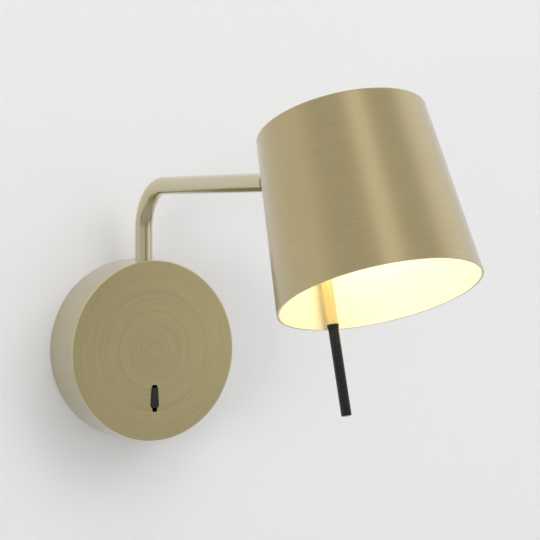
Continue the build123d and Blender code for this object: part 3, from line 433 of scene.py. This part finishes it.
@dataclass(frozen=True)
class TubeMetal(Finish):
    """Lacquered tube polished round its run: up the post, through the bend, out along the arm."""

    post_out: float = 19.6 * MM
    bend_start: float = 83.8 * MM
    bend_radius: float = 30.0 * MM
    line_height: float = 0.22 * MM
    line_length: float = 9.0 * MM
    line_tone: float = 0.05
    line_matt: float = 0.08
    depth: float = 0.022 * MM
    broad_grain: float = 55.0
    broad_tone: float = 0.05
    # Painted shade: the seam where the tube meets the fork is painted darker, standing in for the
    # shadow in the joint gap.
    seam: float = 186.4 * MM
    seam_core: float = 0.4 * MM
    seam_width: float = 1.0 * MM
    seam_shade_level: float = 0.2

    def paint(self, sheet: Sheet) -> None:
        """Lines are noise of the length along the run: straight, then an arc, then straight."""
        x, y, z = sheet.place()
        rise = z - self.bend_start
        reach = (y + self.post_out) * -1.0
        inside = (self.bend_radius - reach).largest(0.0)
        arc = rise.largest(0.0).turn_of(inside) * self.bend_radius
        run = arc - (rise * -1.0).largest(0.0) + (reach - self.bend_radius).largest(0.0)
        east, north = x / self.line_length, (y + z) / self.line_length
        lines = sheet.noise(sheet.join(east, run / self.line_height, north), 1.0, 3.0, 0.65)
        broad = sheet.noise(sheet.join(x, y, z), self.broad_grain)
        # Painted shade: a dark band round the seam between tube and fork.
        from_seam = (y + self.seam).absolute()
        seam = from_seam.ramp(self.seam_core, self.seam_width, self.seam_shade_level, 1.0)
        gain = (lines * self.line_tone + broad * self.broad_tone + 1.0) * seam
        sheet.surface({
            "Base Color": sheet.dim(self.colour, gain),
            "Metallic": 1.0,
            "Coat Weight": 1.0,
            **LACQUER,
            "Roughness": lines * self.line_matt + self.roughness,
            "Normal": sheet.bump(lines, self.depth),
        })


@dataclass(frozen=True)
class Moulded(Finish):
    """Moulded plastic or rubber with a fine spark-eroded grain."""

    grain: float = 1800.0
    grain_tone: float = 0.08
    grain_matt: float = 0.12
    broad_grain: float = 40.0
    broad_tone: float = 0.12
    broad_matt: float = 0.08
    depth: float = 0.010 * MM
    index: float = 1.45

    def paint(self, sheet: Sheet) -> None:
        """A fine grain that also breaks up the gloss, over a slow change of colour."""
        vector = sheet.join(*sheet.place())
        fine = sheet.noise(vector, self.grain, 2.0, 0.6)
        broad = sheet.noise(vector, self.broad_grain)
        gain = fine * self.grain_tone + broad * self.broad_tone + 1.0
        sheet.surface({
            "Base Color": sheet.dim(self.colour, gain),
            "Roughness": fine * self.grain_matt + broad * self.broad_matt + self.roughness,
            "IOR": self.index,
            "Normal": sheet.bump(fine, self.depth),
        })


@dataclass(frozen=True)
class Glowing(Finish):
    """Opal plastic lit from behind."""

    glow: Colour = (1.0, 0.93, 0.79)
    strength: float = 21.0
    core_radius: float = 6.0 * MM
    rim_radius: float = 26.0 * MM
    rim_level: float = 0.25
    grain: float = 900.0
    grain_tone: float = 0.03
    grain_matt: float = 0.05

    def paint(self, sheet: Sheet) -> None:
        """The glow is strongest in the middle and falls off towards the rim."""
        side, out, _ = HEAD.local(sheet)
        radius = (side * side + out * out).root()
        vector = sheet.join(*sheet.place())
        fine = sheet.noise(vector, self.grain)
        level = radius.ramp(self.core_radius, self.rim_radius, 1.0, self.rim_level)
        sheet.surface({
            "Base Color": sheet.dim(self.colour, fine * self.grain_tone + 1.0),
            "Roughness": fine * self.grain_matt + self.roughness,
            "Emission Color": sheet.dim(self.glow, level),
            "Emission Strength": self.strength,
        })


class Finishes(Enum):
    """Every finish that the lamp has."""

    CANOPY = TurnedMetal("canopy_turned_brass_tone", (0.525, 0.438, 0.208), 0.36)
    SHADE = SpunMetal("shade_spun_brass_tone", (0.47, 0.375, 0.175), 0.37)
    TUBE = TubeMetal("tube_satin_brass", (0.59, 0.52, 0.335), 0.22)
    ROD = BrushedMetal("rod_satin_brass", (0.64, 0.55, 0.32), 0.20)
    BARE_BRASS = BrushedMetal("fitting_bare_brass", (0.62, 0.47, 0.21), 0.30)
    TINNED = BrushedMetal("terminal_tinned_brass", (0.62, 0.60, 0.55), 0.32)
    ZINC = BrushedMetal("plated_zinc_steel", (0.52, 0.53, 0.55), 0.34, grain=1200.0, tone=0.16)
    SPRING = BrushedMetal("spring_dark_steel", (0.20, 0.20, 0.21), 0.36)
    DARK_SCREW = BrushedMetal("screw_dark_bronze", (0.10, 0.085, 0.06), 0.36)
    EARTH = BrushedMetal("screw_bright_brass", (0.64, 0.50, 0.24), 0.26)
    CASTING = BrushedMetal(
        "casting_aluminium", (0.48, 0.48, 0.47), 0.50, grain=700.0, depth=0.02 * MM
    )
    SINK = BrushedMetal("sink_extruded_aluminium", (0.62, 0.62, 0.63), 0.36)
    BOARD = Moulded("board_white_mask", (0.86, 0.86, 0.82), 0.35)
    CHIP = Moulded("chip_yellow_resin", (0.80, 0.62, 0.12), 0.25)
    OPAL = Glowing("diffuser_opal_lit", (0.92, 0.90, 0.84), 0.45)
    GRIP = Moulded("grip_black_satin", (0.004, 0.0036, 0.003), 0.26, index=1.42)
    SWITCH = Moulded("switch_black_satin", (0.016, 0.015, 0.015), 0.30)
    DRIVER = Moulded("driver_grey_case", (0.60, 0.60, 0.58), 0.45)
    TERMINAL = Moulded("terminal_cream_case", (0.72, 0.69, 0.60), 0.40)
    GROMMET = Moulded("grommet_black_rubber", (0.025, 0.025, 0.025), 0.60)
    NYLON = Moulded("washer_nylon", (0.62, 0.59, 0.50), 0.42)
    SHEATH = Moulded("lead_white_sheath", (0.72, 0.72, 0.70), 0.42)


# --------------------------------------------------------------------------------- sub-assemblies


@dataclass
class Assembly:
    """A sub-assembly whose nodes are dressed by finish."""

    dressing: dict[Finishes, tuple[str, ...]] = field(default_factory=dict)

    def dress(self) -> None:
        """Gives each node its finish."""
        for finish, nodes in self.dressing.items():
            for name in nodes:
                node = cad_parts[name]
                node.data.materials.clear()
                node.data.materials.append(finish.value.material())
                LOG.info("%s gets %s", name, finish.value.name)


@dataclass
class Canopy(Assembly):
    """Wall bracket, canopy and what they hold."""

    dressing: dict[Finishes, tuple[str, ...]] = field(default_factory=lambda: {
        Finishes.CANOPY: ("canopy_shell",),
        Finishes.ZINC: (
            "wall_bracket", "driver_screws", "terminal_fixings", "swivel_block_studs",
            "swivel_block_nuts", "switch_studs", "switch_nuts",
        ),
        Finishes.DARK_SCREW: ("canopy_screws",),
        Finishes.EARTH: ("earth_screw", "terminal_screws"),
        Finishes.CASTING: ("swivel_block",),
        Finishes.SPRING: ("swivel_stop_pin", "switch_pin"),
        Finishes.DRIVER: ("led_driver",),
        Finishes.TERMINAL: ("terminal_block",),
        Finishes.GROMMET: ("cable_grommet",),
        Finishes.SHEATH: ("driver_lead",),
        Finishes.SWITCH: ("switch_paddle", "switch_body"),
        Finishes.TINNED: ("switch_terminals",),
    })


@dataclass
class Arm(Assembly):
    """The bent tube, its swivel inside the canopy and the fork of the tilt hinge."""

    dressing: dict[Finishes, tuple[str, ...]] = field(default_factory=lambda: {
        Finishes.TUBE: ("arm_tube", "hinge_fork"),
        Finishes.BARE_BRASS: ("base_nipple", "head_nipple"),
        Finishes.ZINC: ("swivel_stop_washer", "swivel_nut", "swivel_thrust_washer"),
        Finishes.SPRING: ("swivel_spring_washer",),
        Finishes.DARK_SCREW: ("fork_lock_screw", "hinge_screw"),
        Finishes.NYLON: ("hinge_washers",),
        Finishes.SHEATH: ("arm_lead",),
    })


@dataclass
class Head(Assembly):
    """The shade with its link, rod, grip and engine."""

    dressing: dict[Finishes, tuple[str, ...]] = field(default_factory=lambda: {
        Finishes.SHADE: ("shade_shell",),
        Finishes.TUBE: ("head_link", "outer_saddle_washer"),
        Finishes.ROD: ("inner_saddle_washer", "rod_block", "handle_rod"),
        Finishes.GRIP: ("handle_grip",),
        Finishes.SINK: ("heat_sink",),
        Finishes.ZINC: ("engine_screws",),
        Finishes.BOARD: ("led_board",),
        Finishes.CHIP: ("led_chips",),
        Finishes.OPAL: ("diffuser",),
        Finishes.SHEATH: ("head_lead",),
    })


# ----------------------------------------------------------------------------------------- studio


@dataclass(frozen=True)
class Lamp:
    """A soft studio lamp that points at a spot, square unless it has a height of its own."""

    name: str
    place: tuple[float, float, float]
    target: tuple[float, float, float]
    size: float
    power: float
    height: float = 0.0
    mirrored: bool = True

    def hang(self) -> None:
        """Adds the lamp."""
        data = bpy.data.lights.new(self.name, "AREA")
        data.shape = "RECTANGLE"
        data.size = self.size
        data.size_y = self.height or self.size
        data.energy = self.power
        made = bpy.data.objects.new(self.name, data)
        made.location = self.place
        aim = Vector(self.target) - Vector(self.place)
        made.rotation_euler = aim.to_track_quat("-Z", "Y").to_euler()
        made.visible_glossy = self.mirrored
        bpy.context.scene.collection.objects.link(made)


@dataclass
class Studio:
    """Camera, wall, floor, world and lamps."""

    lens: float = 118.47
    sensor: float = 36.0
    camera_place: tuple[float, float, float] = (-569.60 * MM, -1123.76 * MM, 93.16 * MM)
    camera_far: float = 50.0
    yaw: float = math.radians(31.349)
    pitch: float = math.radians(-1.742)
    wall_reach: float = 2.4
    wall_hole: float = 58.0 * MM
    wall_gap: float = 0.3 * MM
    wall_steps: int = 96
    wall_colour: Colour = (0.90, 0.90, 0.90)
    wall_grain: float = 420.0
    floor_drop: float = 1.3
    floor_colour: Colour = (0.42, 0.42, 0.418)
    floor_grain: float = 300.0
    paint_tone: float = 0.02
    paint_roughness: float = 0.85
    paint_depth: float = 0.12 * MM
    room_colour: Colour = (0.65, 0.65, 0.652)
    room_dusk: tuple[float, float] = (-0.45, 0.02)
    room_below: float = 0.42
    lamps: tuple[Lamp, ...] = (
        Lamp("key_lamp", (2.6, -3.0, 2.7), (0.0, -0.1, 0.05), 2.6, 41.0, mirrored=False),
        Lamp("fill_lamp", (-3.4, -1.35, -0.1), (0.0, -0.1, 0.0), 1.8, 46.0, mirrored=False),
        Lamp("top_lamp", (0.5, -1.3, 2.8), (0.0, -0.1, 0.0), 1.6, 20.0, mirrored=False),
        Lamp("band_lamp", (-0.44, -1.72, 1.83), (0.0, -0.27, 0.1), 0.84, 2.1, height=1.1),
        Lamp("side_card", (1.99, -0.69, 1.18), (0.0, -0.27, 0.1), 1.4, 2.6),
        Lamp("front_card", (1.2, -1.05, -0.05), (0.0, -0.03, 0.0), 0.8, 0.8),
    )

    def camera(self) -> None:
        """Puts the camera where the photograph was taken from."""
        data = bpy.data.cameras.new("camera")
        data.lens = self.lens
        data.sensor_width = self.sensor
        data.clip_end = self.camera_far
        made = bpy.data.objects.new("camera", data)
        ahead = Vector((
            math.sin(self.yaw) * math.cos(self.pitch),
            math.cos(self.yaw) * math.cos(self.pitch),
            math.sin(self.pitch),
        ))
        made.location = self.camera_place
        made.rotation_euler = ahead.to_track_quat("-Z", "Y").to_euler()
        bpy.context.scene.collection.objects.link(made)
        bpy.context.scene.camera = made

    def one_sided(self, name: str, colour: Colour, grain: float) -> bpy.types.Material:
        """Matt paint that is seen from its front alone, so that it hides nothing from behind."""
        made = bpy.data.materials.new(name)
        sheet = Sheet(made)
        vector = sheet.join(*sheet.place())
        fine = sheet.noise(vector, grain, 3.0, 0.6)
        shader = sheet.surface({
            "Base Color": sheet.dim(colour, fine * self.paint_tone + 1.0),
            "Roughness": self.paint_roughness,
            "Normal": sheet.bump(fine, self.paint_depth),
        })
        behind = sheet.term("ShaderNodeNewGeometry", {}, {}, "Backfacing")
        clear = sheet.term("ShaderNodeBsdfTransparent", {}, {})
        both = sheet.term("ShaderNodeMixShader", {}, {0: behind, 1: shader, 2: clear})
        sheet.tree.links.new(both.socket, sheet.output.inputs["Surface"])
        return made

    def wall(self) -> None:
        """The wall with a hole behind the canopy, so that light reaches the bracket's back."""
        steps = self.wall_steps
        turns = np.linspace(0.0, 2 * math.pi, steps, endpoint=False)
        ring = np.stack([np.cos(turns), np.zeros(steps), np.sin(turns)], axis=1)
        square = ring / np.abs(ring).max(axis=1)[:, None]
        points = np.concatenate([ring * self.wall_hole, square * self.wall_reach])
        points[:, 1] = self.wall_gap
        here = np.arange(steps)
        there = (here + 1) % steps
        faces = np.stack([here, here + steps, there + steps, there], axis=1)
        paint = self.one_sided("wall_paint", self.wall_colour, self.wall_grain)
        self._add("wall", points, faces, paint)

    def floor(self) -> None:
        """The floor, well below the lamp."""
        reach = self.wall_reach
        points = np.array([
            (-reach, -2 * reach, -self.floor_drop),
            (reach, -2 * reach, -self.floor_drop),
            (reach, 0.0, -self.floor_drop),
            (-reach, 0.0, -self.floor_drop),
        ])
        faces = np.array([(0, 1, 2, 3)])
        paint = self.one_sided("floor_paint", self.floor_colour, self.floor_grain)
        self._add("floor", points, faces, paint)

    @staticmethod
    def _add(
        name: str, points: np.ndarray, faces: np.ndarray, material: bpy.types.Material
    ) -> None:
        """Adds a stage mesh."""
        mesh = bpy.data.meshes.new(name)
        mesh.from_pydata(points.tolist(), [], faces.tolist())
        mesh.materials.append(material)
        made = bpy.data.objects.new(name, mesh)
        bpy.context.scene.collection.objects.link(made)

    def world(self) -> None:
        """A plain pale room, a little darker below, which is also the soft fill light."""
        world = bpy.data.worlds.new("room")
        bpy.context.scene.world = world
        sheet = Sheet(world)
        _, _, rise = sheet.split(sheet.term("ShaderNodeTexCoord", {}, {}, "Generated"))
        level = rise.ramp(*self.room_dusk, self.room_below, 1.0)
        inputs = {"Color": sheet.dim(self.room_colour, level), "Strength": 1.0}
        shader = sheet.term("ShaderNodeBackground", {}, inputs)
        sheet.tree.links.new(shader.socket, sheet.output.inputs["Surface"])

    def build(self) -> None:
        """Sets up everything round the lamp."""
        bpy.context.scene.view_settings.view_transform = "Standard"
        self.camera()
        self.wall()
        self.floor()
        self.world()
        for lamp in self.lamps:
            lamp.hang()
        LOG.info("studio ready")


def main() -> None:
    """Builds the studio and dresses the lamp."""
    logging.basicConfig(level=logging.INFO, format="%(name)s: %(message)s")
    Studio().build()
    for assembly in (Canopy(), Arm(), Head()):
        assembly.dress()


if __name__ == "__main__":
    main()
